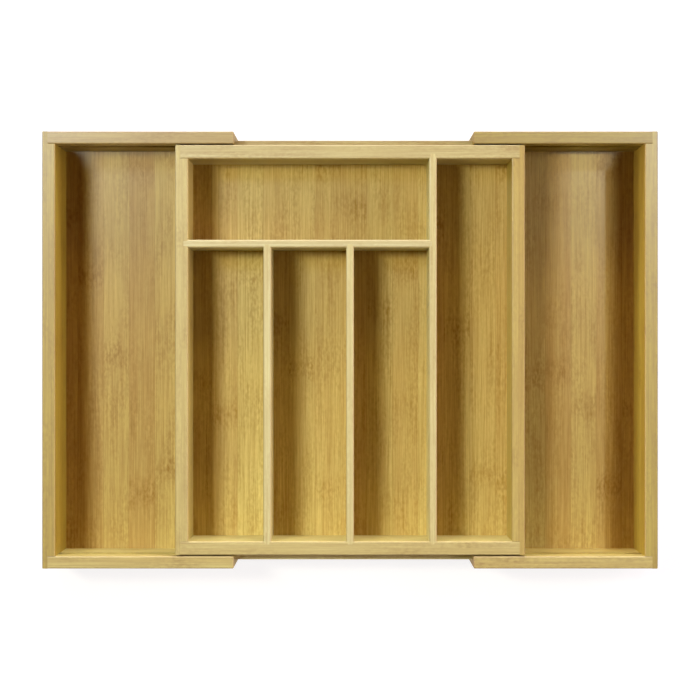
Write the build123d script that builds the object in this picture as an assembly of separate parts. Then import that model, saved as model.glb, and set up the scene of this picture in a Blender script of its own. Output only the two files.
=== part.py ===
from build123d import *
import os

# Expandable bamboo cutlery tray, drawn with both side trays pulled out.
# Origin: centre of the footprint, on the surface it stands on.
# X runs left to right along the slide, Y from front to back, Z up. Sizes in millimetres.
#
# A centre tray with five compartments hangs between two open-ended side trays.
# Runner strips on its front and back slide in grooves in the side trays' walls,
# and a steel pin near each free end of those walls stops the tray from coming out.

# Side trays
tray_depth = 355.0
rim_height = 50.0
wall_lengths = {"left": 155.5, "right": 149.5}
side_wall_thickness = 10.0
end_wall_thickness = 10.5
end_lip_thickness = 4.4
side_floor_thickness = 4.0
side_floor_lift = 2.5
floor_groove_depth = 3.0

# Travel and clearances between the trays
slide_travel = 97.0
meeting_gap = 1.0
closing_gap = 0.5
slide_gap = 1.0
floor_gap = 1.0
runner_gap = 0.25
runner_side_gap = 0.5
panel_gap = 0.3
stop_gap = 0.3

# Centre tray
long_wall_thickness = 11.0
cross_wall_thickness = 10.5
centre_lip_thickness = 4.2
centre_floor_thickness = 4.0
centre_floor_lift = 2.0
divider_thickness = 6.3
cross_divider_y = 86.4
wall_dado_depth = 3.8
front_dado_depth = 2.4
divider_dado_depth = 2.4
column_count = 4

# Runners and stop pins
runner_height = 7.0
runner_drop = 13.0
runner_reach = 5.5
runner_seat = 4.0
pin_diameter = 2.0
pin_inset = 8.0
pin_reach = 1.8
pin_slot_depth = 2.5

# Sanding of the edges, and the overrun of cuts
rim_easing = 0.9
divider_easing = 1.2
base_easing = 0.5
overrun = 1.0
edge_reach = 0.01

# Worked out from the sizes above
closed_width = sum(wall_lengths.values()) + meeting_gap
extended_width = closed_width + 2 * slide_travel
half_width = extended_width / 2
half_depth = tray_depth / 2
side_inner_y = half_depth - side_wall_thickness
side_floor_top = side_floor_lift + side_floor_thickness

centre_half_width = closed_width / 2 - end_wall_thickness - closing_gap
centre_half_depth = side_inner_y - slide_gap
centre_inner_x = centre_half_width - cross_wall_thickness
centre_inner_y = centre_half_depth - long_wall_thickness
centre_base = side_floor_top + floor_gap
centre_floor_bottom = centre_base + centre_floor_lift
centre_floor_top = centre_floor_bottom + centre_floor_thickness

clear_width = 2 * centre_inner_x - (column_count - 1) * divider_thickness
column_pitch = clear_width / column_count + divider_thickness
long_divider_x = column_pitch
cross_front_y = cross_divider_y - divider_thickness / 2

runner_top = rim_height - runner_drop
runner_bottom = runner_top - runner_height
runner_middle = (runner_top + runner_bottom) / 2
runner_outer_y = centre_half_depth + runner_reach
groove_bottom_y = runner_outer_y + runner_side_gap
slot_half_height = pin_diameter / 2 + stop_gap

signs = {"left": -1, "right": 1}
free_end_x = {side: signs[side] * (half_width - wall_lengths[side]) for side in signs}
pin_x = {side: free_end_x[side] + signs[side] * pin_inset for side in signs}


def block(x_range, y_range, z_range):
    """A squared board between two faces along each axis."""
    low = Vector(min(x_range), min(y_range), min(z_range))
    high = Vector(max(x_range), max(y_range), max(z_range))
    size = high - low
    return Pos(low + size / 2) * Box(size.X, size.Y, size.Z)


def edges_at(board, axis, place, along=None):
    """The board's edges that lie at one place on an axis, or only those that run along another."""
    found = board.edges().filter_by_position(axis, place - edge_reach, place + edge_reach)
    return found.filter_by(along) if along else found


def side_wall(side, face):
    """A side tray's front or back wall, with the runner's groove, the floor's groove and the pin hole."""
    sign = signs[side]
    joint_x = sign * (half_width - end_lip_thickness)
    free_x = free_end_x[side]
    wall = block((joint_x, free_x), (face * side_inner_y, face * half_depth), (0, rim_height))
    top = edges_at(wall, Axis.Z, rim_height, Axis.X) + edges_at(wall, Axis.X, free_x)
    wall = fillet(top.filter_by_position(Axis.Z, overrun, rim_height), rim_easing)
    wall = fillet(edges_at(wall, Axis.Z, 0, Axis.X), base_easing)
    past_ends = (joint_x + sign * overrun, free_x - sign * overrun)
    runner_groove = block(
        past_ends,
        (face * (side_inner_y - overrun), face * groove_bottom_y),
        (runner_bottom - runner_gap, runner_top + runner_gap),
    )
    floor_groove = block(
        past_ends,
        (face * (side_inner_y - overrun), face * (side_inner_y + floor_groove_depth)),
        (side_floor_lift, side_floor_top),
    )
    return wall - runner_groove - floor_groove - stop_pin(side, face, half_depth + overrun)


def end_wall(side):
    """A side tray's end wall: an outer lip covers the ends of the front and back walls."""
    sign = signs[side]
    outer_x = sign * half_width
    inner_x = sign * (half_width - end_wall_thickness)
    wall = block((outer_x, inner_x), (-half_depth, half_depth), (0, rim_height))
    top = edges_at(wall, Axis.Z, rim_height, Axis.Y) + edges_at(wall, Axis.X, outer_x)
    wall = fillet(top.filter_by_position(Axis.Z, overrun, rim_height), rim_easing)
    wall = fillet(edges_at(wall, Axis.Z, 0, Axis.Y), base_easing)
    lip_x = sign * (half_width - end_lip_thickness)
    for face in (-1, 1):
        wall -= block(
            (lip_x, inner_x - sign * overrun),
            (face * side_inner_y, face * (half_depth + overrun)),
            (-overrun, rim_height + overrun),
        )
    return wall - block(
        (inner_x - sign * overrun, inner_x + sign * floor_groove_depth),
        (-half_depth, half_depth),
        (side_floor_lift, side_floor_top),
    )


def side_floor(side):
    """A side tray's floor panel, held in the grooves of its three walls and open at the free end."""
    sign = signs[side]
    tongue = floor_groove_depth - panel_gap
    held_x = sign * (half_width - end_wall_thickness + tongue)
    return block(
        (held_x, free_end_x[side]),
        (-(side_inner_y + tongue), side_inner_y + tongue),
        (side_floor_lift, side_floor_top),
    )


def stop_pin(side, face, outer_y):
    """A steel pin through a side wall, whose tip runs in the runner's slot."""
    tip_y = runner_outer_y - pin_reach
    pin = Cylinder(pin_diameter / 2, outer_y - tip_y, rotation=(90, 0, 0))
    return Pos(pin_x[side], face * (outer_y + tip_y) / 2, runner_middle) * pin


def long_wall(face, dividers):
    """The centre tray's front or back wall, which carries a runner and the dividers' ends."""
    end_x = centre_half_width - centre_lip_thickness
    outer_y = face * centre_half_depth
    inner_y = face * centre_inner_y
    wall = block((-end_x, end_x), (outer_y, inner_y), (centre_base, rim_height))
    wall = fillet(edges_at(wall, Axis.Z, rim_height, Axis.X), rim_easing)
    floor_groove = block(
        (-centre_half_width, centre_half_width),
        (inner_y - face * overrun, inner_y + face * floor_groove_depth),
        (centre_floor_bottom, centre_floor_top),
    )
    wall -= floor_groove
    wall -= runner_blank(face)
    for divider in dividers.values():
        wall -= divider
    return wall


def cross_wall(side, dividers):
    """The centre tray's left or right wall, whose lips cover the ends of the long walls."""
    sign = signs[side]
    outer_x = sign * centre_half_width
    inner_x = sign * centre_inner_x
    lip_x = sign * (centre_half_width - centre_lip_thickness)
    wall = block((outer_x, inner_x), (-centre_half_depth, centre_half_depth), (centre_base, rim_height))
    top = edges_at(wall, Axis.Z, rim_height, Axis.Y) + edges_at(wall, Axis.X, outer_x)
    wall = fillet(top.filter_by_position(Axis.Z, centre_base + overrun, rim_height), rim_easing)
    for face in (-1, 1):
        wall -= block(
            (lip_x, inner_x - sign * overrun),
            (face * centre_inner_y, face * (centre_half_depth + overrun)),
            (centre_base - overrun, rim_height + overrun),
        )
        wall -= runner_blank(face)
    wall -= block(
        (inner_x - sign * overrun, inner_x + sign * floor_groove_depth),
        (-centre_half_depth, centre_half_depth),
        (centre_floor_bottom, centre_floor_top),
    )
    return wall - dividers["cross_divider"]


def centre_floor():
    """The centre tray's floor panel, held in a groove all round."""
    tongue = floor_groove_depth - panel_gap
    reach_x = centre_inner_x + tongue
    reach_y = centre_inner_y + tongue
    return block((-reach_x, reach_x), (-reach_y, reach_y), (centre_floor_bottom, centre_floor_top))


def divider_board(x_range, y_range):
    """A divider standing on the centre floor, with its rim eased along its length."""
    board = block(x_range, y_range, (centre_floor_top, rim_height))
    along = Axis.Y if abs(y_range[1] - y_range[0]) > abs(x_range[1] - x_range[0]) else Axis.X
    return fillet(edges_at(board, Axis.Z, rim_height, along), divider_easing)


def divider_boards():
    """Each divider as a whole board, before the crossing dividers are let into it."""
    half = divider_thickness / 2
    front_y = -(centre_inner_y + front_dado_depth)
    boards = {
        "long_divider": divider_board(
            (long_divider_x - half, long_divider_x + half),
            (front_y, centre_inner_y + wall_dado_depth),
        ),
        "cross_divider": divider_board(
            (-(centre_inner_x + wall_dado_depth), long_divider_x - half + divider_dado_depth),
            (cross_front_y, cross_front_y + divider_thickness),
        ),
    }
    for name, x in (("short_divider_left", -column_pitch), ("short_divider_middle", 0.0)):
        boards[name] = divider_board((x - half, x + half), (front_y, cross_front_y + divider_dado_depth))
    return boards


def joined_dividers():
    """The four dividers, each let into the board that it meets."""
    boards = divider_boards()
    boards["long_divider"] -= boards["cross_divider"]
    for name in ("short_divider_left", "short_divider_middle"):
        boards["cross_divider"] -= boards[name]
    return boards


def runner_blank(face):
    """A runner strip glued into the outer face of a long wall, before its slot is cut."""
    blank = block(
        (-centre_half_width, centre_half_width),
        (face * (centre_half_depth - runner_seat), face * runner_outer_y),
        (runner_bottom, runner_top),
    )
    return fillet(edges_at(blank, Axis.Y, face * runner_outer_y, Axis.X), base_easing)


def runner(face):
    """A runner strip, with the slot that the stop pins travel in."""
    slot = block(
        (pin_x["left"] - slot_half_height, pin_x["right"] + slot_half_height),
        (face * (runner_outer_y - pin_slot_depth), face * (runner_outer_y + overrun)),
        (runner_middle - slot_half_height, runner_middle + slot_half_height),
    )
    return runner_blank(face) - slot


def tray_parts():
    """Every piece of the tray by its node name."""
    dividers = joined_dividers()
    parts = {"centre_floor": centre_floor(), **dividers}
    for name, face in (("back", 1), ("front", -1)):
        parts[f"centre_{name}_wall"] = long_wall(face, dividers)
        parts[f"{name}_runner"] = runner(face)
    for side in signs:
        parts[f"centre_{side}_wall"] = cross_wall(side, dividers)
        parts[f"{side}_end_wall"] = end_wall(side)
        parts[f"{side}_floor"] = side_floor(side)
        parts[f"{side}_back_wall"] = side_wall(side, 1)
        parts[f"{side}_front_wall"] = side_wall(side, -1)
        parts[f"{side}_stop_pins"] = Compound(
            children=[stop_pin(side, face, half_depth) for face in (1, -1)]
        )
    return parts


os.makedirs("parts", exist_ok=True)
for name, shape in tray_parts().items():
    export_step(shape, f"parts/{name}.step")
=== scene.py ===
"""Looks of the expandable bamboo cutlery tray: boards, strip floors, lacquer, light and camera."""

import math

import bpy
from mathutils import Matrix, Vector


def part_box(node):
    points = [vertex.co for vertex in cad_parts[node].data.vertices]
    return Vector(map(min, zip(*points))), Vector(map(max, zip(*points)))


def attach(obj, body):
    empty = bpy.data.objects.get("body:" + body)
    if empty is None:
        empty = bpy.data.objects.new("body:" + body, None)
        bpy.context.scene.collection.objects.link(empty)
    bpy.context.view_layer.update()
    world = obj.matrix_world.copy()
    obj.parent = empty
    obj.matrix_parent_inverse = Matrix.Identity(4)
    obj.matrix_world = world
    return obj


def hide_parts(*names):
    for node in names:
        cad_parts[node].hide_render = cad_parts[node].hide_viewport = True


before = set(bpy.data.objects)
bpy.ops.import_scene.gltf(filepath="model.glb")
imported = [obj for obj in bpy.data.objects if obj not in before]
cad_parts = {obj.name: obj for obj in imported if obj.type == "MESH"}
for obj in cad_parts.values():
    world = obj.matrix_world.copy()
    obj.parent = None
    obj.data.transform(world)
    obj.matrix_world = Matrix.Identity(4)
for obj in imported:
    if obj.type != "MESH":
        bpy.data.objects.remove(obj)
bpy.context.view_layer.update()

MM = 0.001

# Camera, in metres, with its sensor in millimetres
RIM_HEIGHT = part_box("left_end_wall")[1].z
CAMERA_ABOVE_RIM = 1.083
VIEW_WIDTH_AT_RIM = 0.5682
SENSOR_WIDTH = 36.0

# Lamps: place and size in metres, power in watts and colour. The right tray gets each of them mirrored.
FLOOR_LAMPS = {
    "key": ((-0.775, 0.218, 1.12), (0.2, 0.4), 7.4, (1.0, 0.98, 0.92)),
    "sheen": ((-0.8, 0.55, 1.05), (0.25, 0.25), 11.0, (1.0, 1.0, 0.78)),
    "sheen_over_wall": ((-0.8, 0.55, 1.05), (0.25, 0.25), 15.0, (1.0, 1.0, 0.78)),
    "glow": ((-0.775, 0.218, 1.12), (0.2, 0.4), 0.125, (0.68, 0.96, 1.0)),
    "back_low": ((0.0, 1.2, 0.28), (1.4, 0.2), 1.4, (1.0, 0.3, 0.6)),
    "back_high": ((0.0, 1.15, 0.5), (1.4, 0.25), 2.8, (1.0, 0.66, 0.2)),
    "corner": ((0.85, 0.7, 0.4), (0.5, 0.3), 3.5, (1.0, 0.36, 0.42)),
}
WALL_LAMPS = {
    "key": ((-0.775, 0.218, 1.12), (0.2, 0.4), 5.7, (1.0, 0.97, 0.78)),
    "sheen": ((-0.8, 0.55, 1.05), (0.25, 0.25), 17.0, (0.7, 0.86, 1.0)),
    "back_low": ((0.0, 1.2, 0.28), (1.4, 0.2), 16.5, (0.86, 0.83, 1.0)),
    "back_high": ((0.0, 1.0, 0.75), (1.4, 0.3), 2.6, (1.0, 0.95, 1.0)),
    "side_low": ((1.2, 0.1, 0.36), (1.0, 0.1), 3.0, (0.95, 0.75, 1.0)),
    "side_high": ((1.0, 0.1, 0.75), (1.0, 0.3), 5.4, (1.0, 0.78, 0.85)),
}
GLOW_TARGET = Vector((0.0, -0.34, 0.0))
GLOW_SPREAD = math.radians(29)
RIGHT_GLOW = 0.72
FRONT_PLACE = Vector((0.0, -1.3, 0.13))
FRONT_SIZE = (1.6, 0.14)
FRONT_POWER = 3.0
FRONT_COLOUR = (1.0, 0.9, 0.8)

# The right tray's floor: a small share of the key and sheen falls all over it, and the rest in a narrow beam along
# its middle. In all they are a little more than the left floor gets.
SHARES_ALL_OVER = {"key": 0.25, "sheen": 0.12, "sheen_over_wall": 0.12}
SHARE_IN_ALL = 1.04
BEAM_X = 0.195
BEAM_HALF_WIDTH = 0.0345
BEAM_HALF_LENGTH = 0.5
BEAM_BLEND = 0.7
BEAM_RADIUS = 0.008

# Stage and surroundings
STAGE_SIZE = 6.0
STAGE_GLOW = 0.84
WHITE = (1.0, 1.0, 1.0, 1.0)
FILL_COLOUR = (0.05, 0.01, 0.001, 1.0)
REFLECTED_TOP, REFLECTED_SIDES = 0.04, 0.5
REFLECTED_HEIGHTS = (0.95, 0.55)

# Bamboo strips and boards, in metres
STRIP_WIDTH = 21.65 * MM
STRIP_EASING = 0.06 * MM
SIDE_LAYER = 5.0 * MM
SIDE_END_LAYER = SIDE_LAYER * 1.05
CENTRE_LAYER = 5.5 * MM
CENTRE_END_LAYER = CENTRE_LAYER * 0.96
DIVIDER_LAYER = 3.15 * MM
BOARD_STRIP = 18.0 * MM
FLOOR_CELL = 1.5
FLOOR_VARIETY, FLOOR_NODE_SPACING = 1.15, 0.27
DIVIDER_VARIETY, DIVIDER_FIBRE = 0.6, 0.8

# The X of one joint between strips on each floor, and the numbers that pick each board's pattern
FLOOR_JOINTS = {"centre_floor": -94.4 * MM, "left_floor": -208.1 * MM, "right_floor": 208.1 * MM}
SEEDS = {
    "side_face": 3.0, "side_end": 17.0, "centre_end": 29.0, "centre_face": 41.0, "runner": 53.0, "divider": 61.0,
    "centre_floor": 25375, "left_floor": 9799, "right_floor": 19178,
}

# Fibre patterns: length along the grain and width across it in metres, and detail
FIBRES = {
    "drift": (0.11, 0.0075, 1.5),
    "streaks": (0.075, 0.0016, 2.0),
    "threads": (0.03, 0.0008, 2.0),
    "pores": (0.007, 0.0007, 1.0),
    "mottle": (0.0042, 0.0021, 1.5),
    "patches": (0.05, 0.012, 1.0),
}
FIBRE_ROUGHNESS = 0.55

# How far apart the pattern numbers of strips, layers and boards are, and how far a strip's fibres may be shifted
LAYER_STEP, BOARD_STEP = 37.0, 100.0
SHIFT_ALONG, SHIFT_ACROSS = 9.0, 5.0

# How far each pattern turns a strip from its light to its warm tone
WARMTH = {"drift": 0.9, "streaks": 0.6}
NODE_WARMTH = 0.12

# The values of a pattern between which its marks come up, and how dark they are
FIBRE_MARKS = {"streaks": (0.3, 0.72, 0.24), "threads": (0.28, 0.75, 0.27), "pores": (0.35, 0.75, 0.08)}
PATCH_EDGE, MOTTLE_EDGE = (0.35, 0.65), (0.3, 0.7)
MOTTLE_ALL_OVER, MOTTLE_IN_PATCHES, MOTTLE_AT_NODES = 0.06, 0.2, 0.2

# Nodes: how far they are shifted from strip to strip, how wavy they are, and the distances between which a zone
# and a line come up
NODE_SHIFT, NODE_WAVE = 3.0, 0.02
NODE_ZONE = (0.017, 0.002)
NODE_LINE = (0.0024, 0.0004)
NODE_LINE_DEPTH = 0.06

# Glue lines by distance, and eased edges by how steep the surface is, with the depth of the painted shade on them
GLUE_LINE, GLUE_DEPTH = (0.00028, 0.00008), 0.2
EASED_FROM_UPRIGHT, EASED_FROM_FLAT, PAINTED_EDGE_SHADE = (0.25, 0.5), (0.97, 0.85), 0.55

# End grain: where it shows, by direction, and its dots
END_FACING, END_DEPTH = (0.6, 0.9), 0.45
END_DOTS_PER_METRE, END_DOT_EDGE, END_DOT_DEPTH = 1250.0, (0.42, 0.2), 0.55

# Lacquer: its roughness and gloss, and how the fibres show in it
LACQUER_ROUGHNESS, THREAD_ROUGHNESS, END_ROUGHNESS = 0.36, 0.1, 0.18
STREAK_HEIGHT, THREAD_HEIGHT = -0.6, -0.4
BUMP_STRENGTH, BUMP_DISTANCE = 0.35, 0.08 * MM
BOARD_GLOSS, FLOOR_GLOSS, DULL_GLOSS = 0.45, 0.4, 0.27

# Handling, and a paler band at the rim
HANDLING_SCALE, HANDLING_DETAIL, HANDLING_EDGE, HANDLING_AMOUNT = 14.0, 3.0, (0.35, 0.7), 0.1
RIM_PALE_DEPTH, RIM_PALE_AMOUNT = 1.6 * MM, 0.1

# Steel pins
SCRATCH_SCALE, SCRATCH_DETAIL = 2600.0, 3.0
STEEL_ROUGHNESS, SCRATCH_ROUGHNESS = 0.3, 0.25


def srgb(red, green, blue):
    """A colour written in 0 to 255, as a linear colour with full alpha."""
    def linear(value):
        share = value / 255
        return share / 12.92 if share <= 0.04045 else ((share + 0.055) / 1.055) ** 2.4
    return (linear(red), linear(green), linear(blue), 1.0)


HANDLED_TONE, RIM_PALE_TONE = srgb(120, 82, 34), srgb(255, 240, 205)
STEEL_DARK, STEEL_LIGHT = srgb(150, 146, 138), srgb(196, 192, 184)
STAGE_LIT, STAGE_SEEN = srgb(190, 186, 180), srgb(140, 140, 140)


class Wiring:
    """Adds nodes to a tree and joins them."""

    def __init__(self, tree):
        self.tree = tree

    def add(self, kind, **settings):
        node = self.tree.nodes.new(kind)
        for name, value in settings.items():
            setattr(node, name, value)
        return node

    def put(self, socket, value):
        if isinstance(value, bpy.types.NodeSocket):
            self.tree.links.new(value, socket)
        else:
            socket.default_value = value

    def math(self, operation, *values, clamp=False):
        node = self.add("ShaderNodeMath", operation=operation, use_clamp=clamp)
        for socket, value in zip(node.inputs, values):
            self.put(socket, value)
        return node.outputs[0]

    def combine(self, x, y, z):
        node = self.add("ShaderNodeCombineXYZ")
        for socket, value in zip(node.inputs, (x, y, z)):
            self.put(socket, value)
        return node.outputs[0]

    def separate(self, vector):
        node = self.add("ShaderNodeSeparateXYZ")
        self.put(node.inputs[0], vector)
        return node.outputs

    def mix(self, factor, first, second):
        node = self.add("ShaderNodeMix", data_type="RGBA")
        self.put(node.inputs["Factor"], factor)
        self.put(node.inputs[6], first)
        self.put(node.inputs[7], second)
        return node.outputs[2]

    def noise(self, vector, scale, detail, roughness=0.5):
        node = self.add("ShaderNodeTexNoise")
        self.put(node.inputs["Vector"], vector)
        self.put(node.inputs["Scale"], scale)
        self.put(node.inputs["Detail"], detail)
        self.put(node.inputs["Roughness"], roughness)
        return node.outputs[0]

    def random(self, value):
        """A steady random colour for a number: three values from 0 to 1."""
        node = self.add("ShaderNodeTexWhiteNoise", noise_dimensions="1D")
        self.put(node.inputs["W"], value)
        split = self.add("ShaderNodeSeparateColor")
        self.tree.links.new(node.outputs["Color"], split.inputs[0])
        return split.outputs

    def ramp(self, value, low, high, to_low=0.0, to_high=1.0):
        """Eases a value from to_low at low to to_high at high."""
        node = self.add("ShaderNodeMapRange", interpolation_type="SMOOTHSTEP")
        for socket, number in zip(node.inputs, (value, low, high, to_low, to_high)):
            self.put(socket, number)
        return node.outputs[0]


def group_tree(name, inputs, outputs):
    """A new shader node group with its sockets: its wiring, and the sockets inside it to read and to fill."""
    tree = bpy.data.node_groups.new(name, "ShaderNodeTree")
    for socket_name, kind in inputs.items():
        tree.interface.new_socket(socket_name, in_out="INPUT", socket_type=kind)
    for socket_name, kind in outputs.items():
        tree.interface.new_socket(socket_name, in_out="OUTPUT", socket_type=kind)
    wiring = Wiring(tree)
    entry = wiring.add("NodeGroupInput")
    leave = wiring.add("NodeGroupOutput")
    return wiring, entry.outputs, leave.inputs


FLOAT, COLOR, VECTOR = "NodeSocketFloat", "NodeSocketColor", "NodeSocketVector"


def bamboo_group():
    """Laminated bamboo: strips of their own tone, fibres along X, node marks and end grain.

    Place is in metres with the grain along X. Strips lie side by side along Y and Z.
    """
    w, given, out = group_tree(
        "laminated_bamboo",
        {
            "Place": VECTOR, "Facing": VECTOR, "Light Tone": COLOR, "Warm Tone": COLOR, "Fibre Tone": COLOR,
            "Strip Y": FLOAT, "Strip Z": FLOAT, "Start Y": FLOAT, "Start Z": FLOAT,
            "Variety": FLOAT, "Fibre Strength": FLOAT, "Node Spacing": FLOAT, "Seed": FLOAT,
        },
        {"Color": COLOR, "Roughness": FLOAT, "Height": FLOAT},
    )
    along, across, through = w.separate(given["Place"])

    # Which strip a point lies in, and three random numbers for that strip
    cell_y = w.math("DIVIDE", w.math("SUBTRACT", across, given["Start Y"]), given["Strip Y"])
    cell_z = w.math("DIVIDE", w.math("SUBTRACT", through, given["Start Z"]), given["Strip Z"])
    index_y = w.math("FLOOR", cell_y)
    index_z = w.math("FLOOR", cell_z)
    index = w.math("MULTIPLY_ADD", index_z, LAYER_STEP, index_y)
    index = w.math("MULTIPLY_ADD", given["Seed"], BOARD_STEP, index)
    one, two, three = w.random(index)

    # Each strip's fibres start somewhere else along the culm
    start = w.math("MULTIPLY_ADD", two, SHIFT_ALONG, along)
    shift = w.math("MULTIPLY", three, SHIFT_ACROSS)
    side_y = w.math("ADD", across, shift)
    side_z = w.math("ADD", through, shift)

    def fibres(length, width, detail):
        place = w.combine(
            w.math("DIVIDE", start, length), w.math("DIVIDE", side_y, width), w.math("DIVIDE", side_z, width)
        )
        return w.noise(place, 1.0, detail, FIBRE_ROUGHNESS)

    pattern = {name: fibres(*sizes) for name, sizes in FIBRES.items()}

    def from_middle(value):
        return w.math("SUBTRACT", value, 0.5)

    # Node marks: one per spacing on each strip, where the fibres bulge and fleck
    turn = w.math("DIVIDE", w.math("MULTIPLY_ADD", one, NODE_SHIFT, start), given["Node Spacing"])
    wave = w.math("MULTIPLY", from_middle(pattern["drift"]), NODE_WAVE)
    from_node = w.math("ABSOLUTE", from_middle(w.math("FRACT", turn)))
    from_node = w.math("ABSOLUTE", w.math("MULTIPLY_ADD", from_node, given["Node Spacing"], wave))
    node_zone = w.ramp(from_node, *NODE_ZONE)
    node_line = w.ramp(from_node, *NODE_LINE)

    # Colour from light to warm by strip, drift and streaks
    tone = w.math("ADD", w.math("MULTIPLY", from_middle(one), given["Variety"]), 0.5)
    for name, amount in WARMTH.items():
        tone = w.math("MULTIPLY_ADD", from_middle(pattern[name]), amount, tone)
    tone = w.math("MULTIPLY_ADD", node_zone, NODE_WARMTH, tone, clamp=True)
    color = w.mix(tone, given["Light Tone"], given["Warm Tone"])

    # Fibres, mottles and node lines over it
    at_nodes = w.math("MULTIPLY", node_zone, MOTTLE_AT_NODES)
    mottled = w.math("MULTIPLY_ADD", w.ramp(pattern["patches"], *PATCH_EDGE), MOTTLE_IN_PATCHES, at_nodes)
    mottled = w.math("ADD", mottled, MOTTLE_ALL_OVER)
    mottled = w.math("MULTIPLY", mottled, w.ramp(pattern["mottle"], *MOTTLE_EDGE))
    dark = 0.0
    for name, (low, high, amount) in FIBRE_MARKS.items():
        dark = w.math("MULTIPLY_ADD", w.ramp(pattern[name], low, high), amount, dark)
    dark = w.math("MULTIPLY_ADD", node_line, NODE_LINE_DEPTH, w.math("ADD", dark, mottled))
    dark = w.math("MULTIPLY", dark, given["Fibre Strength"], clamp=True)
    color = w.mix(dark, color, given["Fibre Tone"])

    # Glue line between strips
    edge_y = w.math("MULTIPLY", w.math("PINGPONG", cell_y, 0.5), given["Strip Y"])
    edge_z = w.math("MULTIPLY", w.math("PINGPONG", cell_z, 0.5), given["Strip Z"])
    glue = w.ramp(w.math("MINIMUM", edge_y, edge_z), *GLUE_LINE)
    color = w.mix(w.math("MULTIPLY", glue, GLUE_DEPTH), color, given["Fibre Tone"])

    # Eased edges are painted a little darker: a painted shade that takes off the highlight the lamps put on them
    tilt = w.math("ABSOLUTE", w.separate(given["Facing"])[2])
    eased = w.math("MULTIPLY", w.ramp(tilt, *EASED_FROM_UPRIGHT), w.ramp(tilt, *EASED_FROM_FLAT))
    color = w.mix(w.math("MULTIPLY", eased, PAINTED_EDGE_SHADE), color, given["Fibre Tone"])

    # End grain: the cut ends of the fibres as dense dots
    end = w.ramp(w.math("ABSOLUTE", w.separate(given["Facing"])[0]), *END_FACING)
    dots = w.add("ShaderNodeTexVoronoi", feature="F1")
    w.put(dots.inputs["Vector"], w.combine(0.0, across, through))
    w.put(dots.inputs["Scale"], END_DOTS_PER_METRE)
    dot = w.ramp(dots.outputs["Distance"], *END_DOT_EDGE)
    end_color = w.mix(END_DEPTH, color, given["Fibre Tone"])
    end_color = w.mix(w.math("MULTIPLY", dot, END_DOT_DEPTH), end_color, given["Fibre Tone"])
    color = w.mix(end, color, end_color)

    # Threads and end grain are rougher, and the fibres and joints lie a little lower
    rough = w.math("MULTIPLY_ADD", pattern["threads"], THREAD_ROUGHNESS, LACQUER_ROUGHNESS)
    rough = w.math("MULTIPLY_ADD", end, END_ROUGHNESS, rough)
    height = w.math("MULTIPLY", pattern["threads"], THREAD_HEIGHT)
    height = w.math("MULTIPLY_ADD", pattern["streaks"], STREAK_HEIGHT, height)
    height = w.math("SUBTRACT", height, glue)
    w.put(out["Color"], color)
    w.put(out["Roughness"], rough)
    w.put(out["Height"], height)
    return w.tree


def handling_group():
    """Handling marks: a faint, wide unevenness of tone; and paler towards the rim, over each board's top and a
    little below it.
    """
    w, given, out = group_tree(
        "handling_marks",
        {"Place": VECTOR, "Color": COLOR, "Rim Height": FLOAT, "Amount": FLOAT},
        {"Color": COLOR},
    )
    patches = w.noise(given["Place"], HANDLING_SCALE, HANDLING_DETAIL)
    shade = w.ramp(patches, *HANDLING_EDGE)
    color = w.mix(w.math("MULTIPLY", shade, given["Amount"]), given["Color"], HANDLED_TONE)
    # Paler towards the rim height, on each board's top and just below it
    height = w.separate(given["Place"])[2]
    near_rim = w.ramp(height, w.math("SUBTRACT", given["Rim Height"], RIM_PALE_DEPTH), given["Rim Height"])
    color = w.mix(w.math("MULTIPLY", near_rim, RIM_PALE_AMOUNT), color, RIM_PALE_TONE)
    w.put(out["Color"], color)
    return w.tree


GROUPS = {"bamboo": bamboo_group(), "handling": handling_group()}

# Light, warm and fibre tone of each board and floor. They are one bamboo, and each tone was set to how bright that
# piece shows, so the differences between them are partly the bamboo's own and partly painted light and shade.
TONES = {
    "left_end_wall": (srgb(183, 169, 65), srgb(163, 141, 45), srgb(126, 102, 28)),
    "right_end_wall": (srgb(188, 176, 66), srgb(167, 148, 46), srgb(130, 105, 31)),
    "left_back_wall": (srgb(182, 171, 102), srgb(166, 145, 75), srgb(129, 106, 44)),
    # Darker and less blue than the left back wall: a painted shade against the lamps' sheen on it
    "right_back_wall": (srgb(168, 158, 64), srgb(154, 135, 47), srgb(120, 95, 28)),
    "left_front_wall": (srgb(202, 196, 116), srgb(185, 167, 86), srgb(142, 119, 51)),
    "right_front_wall": (srgb(201, 190, 106), srgb(183, 163, 80), srgb(141, 114, 48)),
    "centre_back_wall": (srgb(200, 198, 135), srgb(185, 174, 101), srgb(151, 128, 64)),
    "centre_front_wall": (srgb(205, 199, 126), srgb(188, 174, 95), srgb(151, 129, 58)),
    "centre_left_wall": (srgb(202, 195, 118), srgb(184, 170, 87), srgb(151, 128, 55)),
    "centre_right_wall": (srgb(194, 181, 88), srgb(180, 159, 66), srgb(146, 118, 40)),
    # The back runner darker for the light it catches and the front runner paler for the shade it lies in: painted
    # shade and painted light
    "back_runner": (srgb(181, 171, 120), srgb(166, 149, 91), srgb(134, 110, 55)),
    "front_runner": (srgb(236, 236, 180), srgb(218, 206, 137), srgb(176, 154, 85)),
    "cross_divider": (srgb(211, 213, 157), srgb(202, 197, 136), srgb(167, 148, 81)),
    "divider": (srgb(214, 215, 152), srgb(205, 199, 130), srgb(167, 146, 77)),
    "side_floor": (srgb(211, 187, 105), srgb(192, 157, 82), srgb(143, 101, 8)),
    "centre_floor": (srgb(226, 206, 123), srgb(207, 175, 99), srgb(154, 115, 10)),
}


def place_node(w, grain):
    """Object coordinates and surface direction, turned so that the grain runs along X."""
    source = w.add("ShaderNodeTexCoord")
    turned = []
    for name in ("Object", "Normal"):
        x, y, z = w.separate(source.outputs[name])
        turned.append(w.combine(x, y, z) if grain == "X" else w.combine(y, x, z))
    return turned


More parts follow.
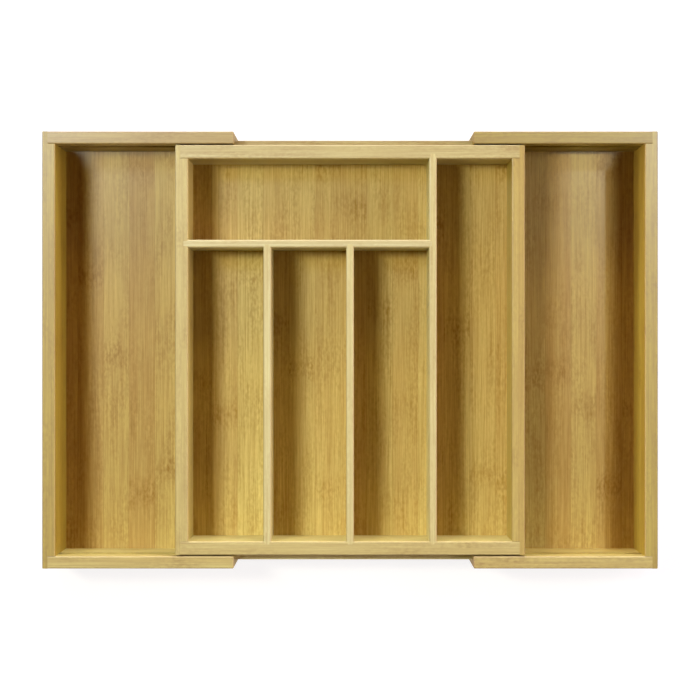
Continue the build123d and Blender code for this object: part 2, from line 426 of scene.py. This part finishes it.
def empty_tree(owner):
    """The wiring of a material's or world's node tree, with nothing in it."""
    owner.use_nodes = True
    owner.node_tree.nodes.clear()
    return Wiring(owner.node_tree)


def bamboo(name, tones, grain, strip, start, seed, variety=0.9, fibre=1.0, node_spacing=0.24, gloss=BOARD_GLOSS):
    """A lacquered bamboo material. strip and start are across the board and through its height."""
    material = bpy.data.materials.new(name)
    w = empty_tree(material)
    place, facing = place_node(w, grain)
    wood = w.add("ShaderNodeGroup", node_tree=GROUPS["bamboo"])
    light, warm, dark = TONES[tones]
    values = {
        "Place": place, "Facing": facing, "Light Tone": light, "Warm Tone": warm, "Fibre Tone": dark,
        "Strip Y": strip[0], "Strip Z": strip[1], "Start Y": start[0], "Start Z": start[1],
        "Variety": variety, "Fibre Strength": fibre, "Node Spacing": node_spacing, "Seed": seed,
    }
    for key, value in values.items():
        w.put(wood.inputs[key], value)
    marks = w.add("ShaderNodeGroup", node_tree=GROUPS["handling"])
    w.put(marks.inputs["Place"], place)
    w.put(marks.inputs["Color"], wood.outputs["Color"])
    w.put(marks.inputs["Rim Height"], RIM_HEIGHT)
    w.put(marks.inputs["Amount"], HANDLING_AMOUNT)
    bump = w.add("ShaderNodeBump")
    w.put(bump.inputs["Strength"], BUMP_STRENGTH)
    w.put(bump.inputs["Distance"], BUMP_DISTANCE)
    w.put(bump.inputs["Height"], wood.outputs["Height"])
    shader = w.add("ShaderNodeBsdfPrincipled")
    w.put(shader.inputs["Base Color"], marks.outputs["Color"])
    w.put(shader.inputs["Roughness"], wood.outputs["Roughness"])
    w.put(shader.inputs["Normal"], bump.outputs[0])
    w.put(shader.inputs["Specular IOR Level"], gloss)
    surface = w.add("ShaderNodeOutputMaterial")
    w.put(surface.inputs["Surface"], shader.outputs[0])
    return material


def steel(name):
    """Drawn steel wire: fine scratches and a dull sheen."""
    material = bpy.data.materials.new(name)
    material.use_nodes = True
    w = Wiring(material.node_tree)
    shader = material.node_tree.nodes["Principled BSDF"]
    place = w.add("ShaderNodeTexCoord").outputs["Object"]
    scratches = w.noise(place, SCRATCH_SCALE, SCRATCH_DETAIL)
    w.put(shader.inputs["Base Color"], w.mix(scratches, STEEL_DARK, STEEL_LIGHT))
    w.put(shader.inputs["Roughness"], w.math("MULTIPLY_ADD", scratches, SCRATCH_ROUGHNESS, STEEL_ROUGHNESS))
    w.put(shader.inputs["Metallic"], 1.0)
    return material


def dress(node, material):
    """Gives a carried-over solid its finish."""
    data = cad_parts[node].data
    data.materials.clear()
    data.materials.append(material)


def dress_board(node, grain, strip, start, seed, tones=None, **finish):
    """Gives a board bamboo cut for its own place and grain."""
    dress(node, bamboo(f"bamboo_{node}", tones or node, grain, strip, start, seed, **finish))


def dress_boards():
    """Every wall, runner, divider and pin gets its finish."""
    sides, faces = ("left", "right"), ("back", "front")
    for number, side in enumerate(sides):
        for step, face in enumerate(faces):
            node = f"{side}_{face}_wall"
            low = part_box(node)[0]
            dress_board(
                node, "X", (SIDE_LAYER, BOARD_STRIP), (low.y, 0.0), SEEDS["side_face"] + 2 * number + step,
                gloss=DULL_GLOSS if node == "right_back_wall" else BOARD_GLOSS,
            )
        node = f"{side}_end_wall"
        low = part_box(node)[0]
        dress_board(node, "Y", (SIDE_END_LAYER, BOARD_STRIP), (low.x, 0.0), SEEDS["side_end"] + number)
        dress(f"{side}_stop_pins", steel(f"steel_{side}_pins"))
        node = f"centre_{side}_wall"
        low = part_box(node)[0]
        dress_board(node, "Y", (CENTRE_END_LAYER, BOARD_STRIP), (low.x, low.z), SEEDS["centre_end"] + number)
    for number, face in enumerate(faces):
        node = f"centre_{face}_wall"
        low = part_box(node)[0]
        dress_board(node, "X", (CENTRE_LAYER, BOARD_STRIP), (low.y, low.z), SEEDS["centre_face"] + number)
        node = f"{face}_runner"
        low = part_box(node)[0]
        dress_board(
            node, "X", (BOARD_STRIP, BOARD_STRIP), (low.y - STRIP_EASING, low.z - STRIP_EASING),
            SEEDS["runner"] + number,
        )
    grains = {"cross_divider": "X", "long_divider": "Y", "short_divider_left": "Y", "short_divider_middle": "Y"}
    for number, (node, grain) in enumerate(grains.items()):
        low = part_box(node)[0]
        dress_board(
            node, grain, (DIVIDER_LAYER, BOARD_STRIP), (low.y if grain == "X" else low.x, low.z),
            SEEDS["divider"] + number, "cross_divider" if grain == "X" else "divider",
            variety=DIVIDER_VARIETY, fibre=DIVIDER_FIBRE,
        )


def strip_floor_tree(material):
    """Geometry nodes: strips side by side along X with eased long edges, the first and last cut narrower."""
    tree = bpy.data.node_groups.new(f"strip_panel_{material.name}", "GeometryNodeTree")
    tree.interface.new_socket("Geometry", in_out="OUTPUT", socket_type="NodeSocketGeometry")
    sizes = ("Low X", "First Joint", "Last Joint", "High X", "Low Y", "Low Z", "Length", "Strip Width",
             "Thickness", "Easing")
    for name in sizes:
        tree.interface.new_socket(name, in_out="INPUT", socket_type=FLOAT)
    tree.interface.new_socket("Count", in_out="INPUT", socket_type="NodeSocketInt")
    w = Wiring(tree)
    given = w.add("NodeGroupInput").outputs
    leave = w.add("NodeGroupOutput").inputs

    def joined(kind, **inputs):
        node = w.add(kind)
        for key, value in inputs.items():
            w.put(node.inputs[key.replace("_", " ")], value)
        return node

    path = joined(
        "GeometryNodeCurvePrimitiveLine", Start=w.combine(0.0, 0.0, 0.0), End=w.combine(0.0, given["Length"], 0.0)
    )
    panel = w.add("GeometryNodeJoinGeometry")

    def lay(low_x, width, count):
        profile = joined("GeometryNodeCurvePrimitiveQuadrilateral", Width=width, Height=given["Thickness"])
        eased = joined("GeometryNodeFilletCurve", Curve=profile.outputs[0], Radius=given["Easing"])
        strip = joined(
            "GeometryNodeCurveToMesh", Curve=path.outputs[0], Profile_Curve=eased.outputs[0], Fill_Caps=True
        )
        crisp = joined("GeometryNodeSetShadeSmooth", Geometry=strip.outputs[0], Shade_Smooth=False)
        first = w.combine(
            w.math("MULTIPLY_ADD", width, 0.5, low_x),
            given["Low Y"],
            w.math("MULTIPLY_ADD", given["Thickness"], 0.5, given["Low Z"]),
        )
        row = joined("GeometryNodeMeshLine", Count=count, Start_Location=first, Offset=w.combine(width, 0.0, 0.0))
        laid = joined("GeometryNodeInstanceOnPoints", Points=row.outputs[0], Instance=crisp.outputs[0])
        tree.links.new(laid.outputs[0], panel.inputs[0])

    lay(given["Low X"], w.math("SUBTRACT", given["First Joint"], given["Low X"]), 1)
    lay(given["First Joint"], given["Strip Width"], given["Count"])
    lay(given["Last Joint"], w.math("SUBTRACT", given["High X"], given["Last Joint"]), 1)
    real = joined("GeometryNodeRealizeInstances", Geometry=panel.outputs[0])
    done = joined("GeometryNodeSetMaterial", Geometry=real.outputs[0], Material=material)
    w.put(leave[0], done.outputs[0])
    return tree


def strip_floor(node, body, tones):
    """A floor panel of bamboo strips in the solid's own place, one strip thick.

    The pattern's cells are thicker than the strips, so no glue line lies along the floor's faces.
    """
    low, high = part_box(node)
    first = low.x + (FLOOR_JOINTS[node] - low.x) % STRIP_WIDTH
    count = int((high.x - first) / STRIP_WIDTH)
    thickness = high.z - low.z
    material = bamboo(
        f"bamboo_{node}", tones, "Y", (STRIP_WIDTH, thickness * FLOOR_CELL),
        (first - STRIP_WIDTH, low.z - thickness * (FLOOR_CELL - 1) / 2), SEEDS[node],
        variety=FLOOR_VARIETY, node_spacing=FLOOR_NODE_SPACING, gloss=FLOOR_GLOSS,
    )
    tree = strip_floor_tree(material)
    holder = bpy.data.objects.new(f"{node}_strips_nodes", bpy.data.meshes.new(f"{node}_strips_nodes"))
    bpy.context.scene.collection.objects.link(holder)
    modifier = holder.modifiers.new("strips", "NODES")
    modifier.node_group = tree
    values = {
        "Low X": low.x, "First Joint": first, "Last Joint": first + count * STRIP_WIDTH, "High X": high.x,
        "Low Y": low.y, "Low Z": low.z, "Length": high.y - low.y, "Strip Width": STRIP_WIDTH,
        "Thickness": thickness, "Easing": STRIP_EASING, "Count": count,
    }
    for item in tree.interface.items_tree:
        if item.in_out == "INPUT":
            modifier[item.identifier] = values[item.name]
    depsgraph = bpy.context.evaluated_depsgraph_get()
    mesh = bpy.data.meshes.new_from_object(holder.evaluated_get(depsgraph))
    bpy.data.objects.remove(holder)
    panel = bpy.data.objects.new(f"{node}_strips", mesh)
    bpy.context.scene.collection.objects.link(panel)
    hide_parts(node)
    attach(panel, body)
    return panel


def add_stage():
    """A pale floor that shows white to the camera and keeps a soft shadow."""
    mesh = bpy.data.meshes.new("stage_floor")
    half = STAGE_SIZE / 2
    corners = [(-half, -half, 0), (half, -half, 0), (half, half, 0), (-half, half, 0)]
    mesh.from_pydata(corners, [], [(0, 1, 2, 3)])
    floor = bpy.data.objects.new("stage_floor", mesh)
    bpy.context.scene.collection.objects.link(floor)
    material = bpy.data.materials.new("stage_white")
    w = empty_tree(material)
    rays = w.add("ShaderNodeLightPath").outputs
    reflected = w.math("MAXIMUM", rays["Is Glossy Ray"], rays["Is Transmission Ray"])
    seen = w.math("MAXIMUM", rays["Is Camera Ray"], reflected)
    plain = w.add("ShaderNodeBsdfDiffuse")
    w.put(plain.inputs["Color"], w.mix(seen, STAGE_LIT, STAGE_SEEN))
    glow = w.add("ShaderNodeEmission")
    w.put(glow.inputs["Strength"], w.math("MULTIPLY", seen, STAGE_GLOW))
    both = w.add("ShaderNodeAddShader")
    w.put(both.inputs[0], plain.outputs[0])
    w.put(both.inputs[1], glow.outputs[0])
    from_below = w.add("ShaderNodeMixShader")
    w.put(from_below.inputs[0], w.add("ShaderNodeNewGeometry").outputs["Backfacing"])
    w.put(from_below.inputs[1], both.outputs[0])
    w.put(from_below.inputs[2], w.add("ShaderNodeBsdfTransparent").outputs[0])
    surface = w.add("ShaderNodeOutputMaterial")
    w.put(surface.inputs["Surface"], from_below.outputs[0])
    mesh.materials.append(material)


def add_world():
    """White to the camera, grey walls to reflections, and a weak warm fill to everything else."""
    world = bpy.data.worlds.new("studio")
    bpy.context.scene.world = world
    w = empty_tree(world)
    rays = w.add("ShaderNodeLightPath").outputs
    upward = w.separate(w.add("ShaderNodeTexCoord").outputs["Generated"])[2]
    walls = w.ramp(upward, *REFLECTED_HEIGHTS, REFLECTED_TOP, REFLECTED_SIDES)
    fill = w.mix(rays["Is Glossy Ray"], FILL_COLOUR, w.combine(walls, walls, walls))
    background = w.add("ShaderNodeBackground")
    w.put(background.inputs["Color"], w.mix(rays["Is Camera Ray"], fill, WHITE))
    surface = w.add("ShaderNodeOutputWorld")
    w.put(surface.inputs["Surface"], background.outputs[0])


def hang_lamp(name, kind, place, power, colour, lit):
    """A lamp that lights near and far things alike. lit is the collection that it lights, if not everything."""
    lamp = bpy.data.lights.new(name, kind)
    lamp.energy = power
    lamp.color = colour
    lamp.use_nodes = True
    w = Wiring(lamp.node_tree)
    even = w.add("ShaderNodeLightFalloff")
    w.put(even.inputs["Strength"], 1.0)
    w.put(lamp.node_tree.nodes["Emission"].inputs["Strength"], even.outputs["Constant"])
    holder = bpy.data.objects.new(name, lamp)
    bpy.context.scene.collection.objects.link(holder)
    holder.location = place
    if lit:
        holder.light_linking.receiver_collection = lit
    return holder


def add_lamp(name, place, target, size, power, colour, lit=None):
    """A soft lamp that looks at a point."""
    holder = hang_lamp(name, "AREA", place, power, colour, lit)
    holder.data.shape = "RECTANGLE"
    holder.data.size, holder.data.size_y = size
    holder.rotation_euler = (target - place).to_track_quat("-Z", "Y").to_euler()
    return holder


def lit_group(name, pieces, state):
    """A collection for a lamp that lights, or is stopped by, only these pieces or all but these."""
    group = bpy.data.collections.new(name)
    for piece in pieces:
        group.objects.link(piece)
    for piece in group.collection_objects:
        piece.light_linking.link_state = state
    return group


def add_beam(name, place, target, power, colour, lit):
    """A narrow beam whose patch is a long ellipse along Y.

    A spot lamp spreads its watts over a whole sphere, so pi times as many match a soft lamp of this power.
    """
    holder = hang_lamp(name, "SPOT", place, power * math.pi, colour, lit)
    holder.data.spot_size = 2 * math.atan(BEAM_HALF_LENGTH / (place - target).length)
    holder.data.spot_blend = BEAM_BLEND
    holder.data.shadow_soft_size = BEAM_RADIUS
    back = (place - target).normalized()
    along = Vector((0.0, 1.0, 0.0))
    along = (along - along.project(back)).normalized()
    holder.rotation_euler = Matrix((along.cross(back), along, back)).transposed().to_euler()
    holder.scale = (BEAM_HALF_WIDTH * back.z / BEAM_HALF_LENGTH, 1.0, 1.0)
    return holder


def add_lights(left_floors, right_walls, right_floor):
    """A soft key from the left, low windows at the back and side, and a sheen, as in the photograph.

    The right tray is lit as the left one in a mirror, with less light on its floor beside the centre tray.
    The key and glow give no gloss, and the sheen nothing else. Most of the floors' sheen passes the back walls.
    """
    centre = Vector((0.0, 0.0, 0.0))
    mirror = Vector((-1.0, 1.0, 1.0))
    not_left_walls = left_floors + right_walls + right_floor
    parts = {
        "left_floors": (FLOOR_LAMPS, lit_group("lit_left_floors", left_floors, "INCLUDE")),
        "left_walls": (WALL_LAMPS, lit_group("lit_left_walls", not_left_walls, "EXCLUDE")),
        "right_floor": (FLOOR_LAMPS, lit_group("lit_right_floor", right_floor, "INCLUDE")),
        "right_walls": (WALL_LAMPS, lit_group("lit_right_walls", right_walls, "INCLUDE")),
    }
    back_walls = [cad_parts[f"{side}_back_wall"] for side in ("left", "right")]
    sheen_stoppers = lit_group("sheen_stoppers", back_walls, "EXCLUDE")
    lamps = {}
    for part, (table, lit) in parts.items():
        for name, (place, size, power, colour) in table.items():
            place = Vector(place) * mirror if part.startswith("right") else Vector(place)
            if part == "right_floor" and name in SHARES_ALL_OVER:
                share = SHARES_ALL_OVER[name]
                beam = f"{name}_beam"
                beam_place = Vector((BEAM_X if name == "key" else place.x, place.y, place.z))
                beam_target = Vector((BEAM_X, 0.0, 0.0))
                lamps[beam] = add_beam(beam, beam_place, beam_target, power * (SHARE_IN_ALL - share), colour, lit)
                power *= share
            if part == "right_floor" and name == "glow":
                power *= RIGHT_GLOW
            target = GLOW_TARGET if name == "glow" else centre
            lamps[f"{name}_{part}"] = add_lamp(f"{name}_{part}", place, target, size, power, colour, lit)
    for name, lamp in lamps.items():
        lamp.visible_glossy = not name.startswith(("key", "glow"))
        lamp.visible_diffuse = not name.startswith("sheen")
        if name.startswith("sheen_over_wall"):
            lamp.light_linking.blocker_collection = sheen_stoppers
    for part in ("left_floors", "right_floor"):
        lamps[f"glow_{part}"].data.spread = GLOW_SPREAD
    add_lamp("front", FRONT_PLACE, centre, FRONT_SIZE, FRONT_POWER, FRONT_COLOUR)


def add_camera():
    """Straight above the tray's centre."""
    camera = bpy.data.cameras.new("camera")
    camera.sensor_width = SENSOR_WIDTH
    camera.lens = SENSOR_WIDTH * CAMERA_ABOVE_RIM / VIEW_WIDTH_AT_RIM
    holder = bpy.data.objects.new("camera", camera)
    bpy.context.scene.collection.objects.link(holder)
    holder.location = (0.0, 0.0, RIM_HEIGHT + CAMERA_ABOVE_RIM)
    bpy.context.scene.camera = holder


add_camera()
dress_boards()
centre_panel = strip_floor("centre_floor", "centre_tray", "centre_floor")
left_panel = strip_floor("left_floor", "left_tray", "side_floor")
right_panel = strip_floor("right_floor", "right_tray", "side_floor")
add_stage()
add_world()
right_walls = [node for name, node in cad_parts.items() if name.startswith("right_")]
add_lights([left_panel, centre_panel], right_walls, [right_panel])
bpy.context.scene.view_settings.view_transform = "Standard"
